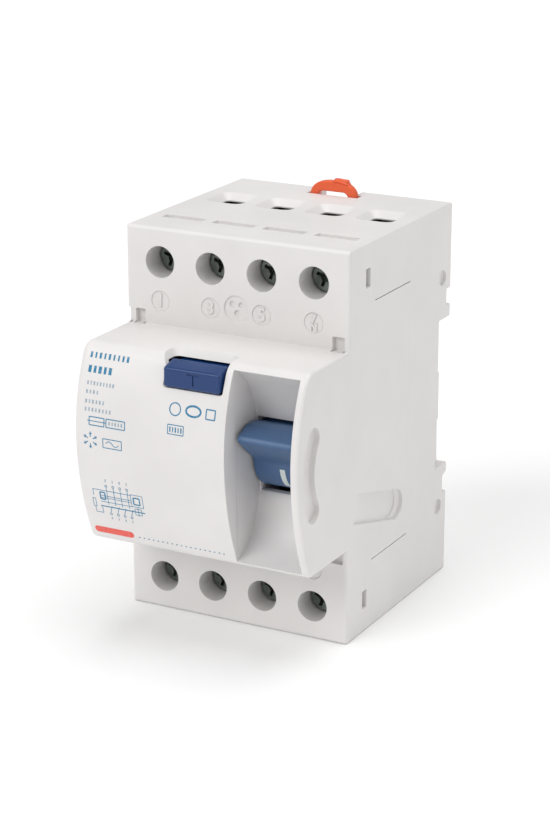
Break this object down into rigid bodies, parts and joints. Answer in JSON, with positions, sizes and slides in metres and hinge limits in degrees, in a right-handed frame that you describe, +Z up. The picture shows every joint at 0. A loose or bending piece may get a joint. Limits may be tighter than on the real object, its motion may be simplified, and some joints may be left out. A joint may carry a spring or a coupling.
{
  "type": "residual current device",
  "caption": "Modular residual current device for rail mounting: stepped grey housing, blue toggle in a side channel, test button, recessed screw terminals and an orange rail clip.",
  "frame": {"origin": "middle of the bottom end face's plane, under the centre of the whole bounding box", "axes": "+Z up along the tall side, toward the line terminals; the nose with the lever faces -Y and the rail recess faces +Y; +X to the lever side"},
  "size_m": [0.054, 0.075, 0.0917],
  "materials": {
    "housing": "light warm grey moulding, fine satin",
    "lever_blue": "muted blue moulding, satin",
    "button_blue": "deep blue moulding",
    "clip_orange": "orange-red moulding",
    "dark_plastic": "dark filled plastic inside",
    "steel": "plated steel",
    "screw_steel": "dull plated steel",
    "zinc": "zinc-plated steel",
    "copper": "bare copper strip",
    "brass": "spring brass",
    "lead": "enamelled copper",
    "core": "cased ring core",
    "winding": "enamelled winding",
    "relay": "black relay case",
    "resistor": "painted resistor"
  },
  "bodies": {
    "housing": {"rear_base": "housing", "front_cover": "housing", "button_spring": "steel", "lever_shaft": "steel", "lever_spring": "steel", "toroid_core": "core", "toroid_winding": "winding", "trip_relay": "relay", "latch_shaft": "steel", "test_resistor": "resistor", "test_contact_blade": "brass", "rail_clip_spring": "steel", "line_strip_1": "copper", "load_strip_1": "copper", "primary_lead_1": "lead", "line_strip_2": "copper", "load_strip_2": "copper", "primary_lead_2": "lead", "line_strip_3": "copper", "load_strip_3": "copper", "primary_lead_3": "lead", "line_strip_4": "copper", "load_strip_4": "copper", "primary_lead_4": "lead"},
    "lever": {"toggle_lever": "lever_blue"},
    "link": {"drive_link": "steel"},
    "carrier": {"contact_carrier": "dark_plastic", "moving_contact_1": "copper", "contact_spring_1": "steel", "moving_contact_2": "copper", "contact_spring_2": "steel", "moving_contact_3": "copper", "contact_spring_3": "steel", "moving_contact_4": "copper", "contact_spring_4": "steel"},
    "button": {"test_button": "button_blue"},
    "clip": {"rail_clip": "clip_orange"},
    "plunger": {"relay_plunger": "steel"},
    "latch": {"trip_latch": "dark_plastic"},
    "screw_1": {"terminal_screw_1": "screw_steel"},
    "clamp_1": {"terminal_clamp_1": "zinc"},
    "screw_2": {"terminal_screw_2": "screw_steel"},
    "clamp_2": {"terminal_clamp_2": "zinc"},
    "screw_3": {"terminal_screw_3": "screw_steel"},
    "clamp_3": {"terminal_clamp_3": "zinc"},
    "screw_4": {"terminal_screw_4": "screw_steel"},
    "clamp_4": {"terminal_clamp_4": "zinc"},
    "screw_5": {"terminal_screw_5": "screw_steel"},
    "clamp_5": {"terminal_clamp_5": "zinc"},
    "screw_6": {"terminal_screw_6": "screw_steel"},
    "clamp_6": {"terminal_clamp_6": "zinc"},
    "screw_7": {"terminal_screw_7": "screw_steel"},
    "clamp_7": {"terminal_clamp_7": "zinc"},
    "screw_8": {"terminal_screw_8": "screw_steel"},
    "clamp_8": {"terminal_clamp_8": "zinc"}
  },
  "joints": [
    {"name": "lever_turn", "type": "hinge", "parent": "housing", "child": "lever", "pos_m": [0.0175, -0.018, 0.044], "axis": [1, 0, 0], "range_deg": [0, 50]},
    {"name": "link_turn", "type": "hinge", "parent": "lever", "child": "link", "pos_m": [0.0175, -0.01356, 0.04773], "axis": [1, 0, 0], "range_deg": [-59.6, 0]},
    {"name": "carrier_slide", "type": "slide", "parent": "housing", "child": "carrier", "axis": [0, -1, 0], "range_m": [0, 0.0046]},
    {"name": "button_press", "type": "slide", "parent": "housing", "child": "button", "axis": [0, 1, 0], "range_m": [0, 0.002], "stiffness_N_per_m": 300, "springref_m": -0.001},
    {"name": "clip_pull", "type": "slide", "parent": "housing", "child": "clip", "axis": [0, 0, 1], "range_m": [0, 0.003], "stiffness_N_per_m": 1500, "springref_m": -0.001, "deforming": ["rail_clip_spring"]},
    {"name": "latch_turn", "type": "hinge", "parent": "housing", "child": "latch", "pos_m": [-0.002, -0.0095, 0.03], "axis": [1, 0, 0], "range_deg": [-12, 0]},
    {"name": "plunger_push", "type": "slide", "parent": "housing", "child": "plunger", "axis": [0, 1, 0], "range_m": [0, 0.00147]},
    {"name": "screw_turn_1", "type": "hinge", "parent": "housing", "child": "screw_1", "pos_m": [-0.01863, -0.0022, 0.0804], "axis": [0, 1, 0], "range_deg": [0, 1800]},
    {"name": "clamp_draw_1", "type": "slide", "parent": "housing", "child": "clamp_1", "axis": [0, -1, 0], "range_m": [0, 0.004]},
    {"name": "screw_turn_2", "type": "hinge", "parent": "housing", "child": "screw_2", "pos_m": [-0.00621, -0.0022, 0.0804], "axis": [0, 1, 0], "range_deg": [0, 1800]},
    {"name": "clamp_draw_2", "type": "slide", "parent": "housing", "child": "clamp_2", "axis": [0, -1, 0], "range_m": [0, 0.004]},
    {"name": "screw_turn_3", "type": "hinge", "parent": "housing", "child": "screw_3", "pos_m": [0.00621, -0.0022, 0.0804], "axis": [0, 1, 0], "range_deg": [0, 1800]},
    {"name": "clamp_draw_3", "type": "slide", "parent": "housing", "child": "clamp_3", "axis": [0, -1, 0], "range_m": [0, 0.004]},
    {"name": "screw_turn_4", "type": "hinge", "parent": "housing", "child": "screw_4", "pos_m": [0.01863, -0.0022, 0.0804], "axis": [0, 1, 0], "range_deg": [0, 1800]},
    {"name": "clamp_draw_4", "type": "slide", "parent": "housing", "child": "clamp_4", "axis": [0, -1, 0], "range_m": [0, 0.004]},
    {"name": "screw_turn_5", "type": "hinge", "parent": "housing", "child": "screw_5", "pos_m": [-0.01863, -0.0022, 0.0076], "axis": [0, 1, 0], "range_deg": [0, 1800]},
    {"name": "clamp_draw_5", "type": "slide", "parent": "housing", "child": "clamp_5", "axis": [0, -1, 0], "range_m": [0, 0.004]},
    {"name": "screw_turn_6", "type": "hinge", "parent": "housing", "child": "screw_6", "pos_m": [-0.00621, -0.0022, 0.0076], "axis": [0, 1, 0], "range_deg": [0, 1800]},
    {"name": "clamp_draw_6", "type": "slide", "parent": "housing", "child": "clamp_6", "axis": [0, -1, 0], "range_m": [0, 0.004]},
    {"name": "screw_turn_7", "type": "hinge", "parent": "housing", "child": "screw_7", "pos_m": [0.00621, -0.0022, 0.0076], "axis": [0, 1, 0], "range_deg": [0, 1800]},
    {"name": "clamp_draw_7", "type": "slide", "parent": "housing", "child": "clamp_7", "axis": [0, -1, 0], "range_m": [0, 0.004]},
    {"name": "screw_turn_8", "type": "hinge", "parent": "housing", "child": "screw_8", "pos_m": [0.01863, -0.0022, 0.0076], "axis": [0, 1, 0], "range_deg": [0, 1800]},
    {"name": "clamp_draw_8", "type": "slide", "parent": "housing", "child": "clamp_8", "axis": [0, -1, 0], "range_m": [0, 0.004]}
  ],
  "couplings": [
    {"joint": "lever_turn", "follows": "carrier_slide", "rad_per_m": 189.43},
    {"joint": "link_turn", "follows": "carrier_slide", "rad_per_m": -223.64},
    {"joint": "latch_turn", "follows": "plunger_push", "rad_per_m": -142.86},
    {"joint": "screw_turn_1", "follows": "clamp_draw_1", "rad_per_m": 7854},
    {"joint": "screw_turn_2", "follows": "clamp_draw_2", "rad_per_m": 7854},
    {"joint": "screw_turn_3", "follows": "clamp_draw_3", "rad_per_m": 7854},
    {"joint": "screw_turn_4", "follows": "clamp_draw_4", "rad_per_m": 7854},
    {"joint": "screw_turn_5", "follows": "clamp_draw_5", "rad_per_m": 7854},
    {"joint": "screw_turn_6", "follows": "clamp_draw_6", "rad_per_m": 7854},
    {"joint": "screw_turn_7", "follows": "clamp_draw_7", "rad_per_m": 7854},
    {"joint": "screw_turn_8", "follows": "clamp_draw_8", "rad_per_m": 7854}
  ]
}
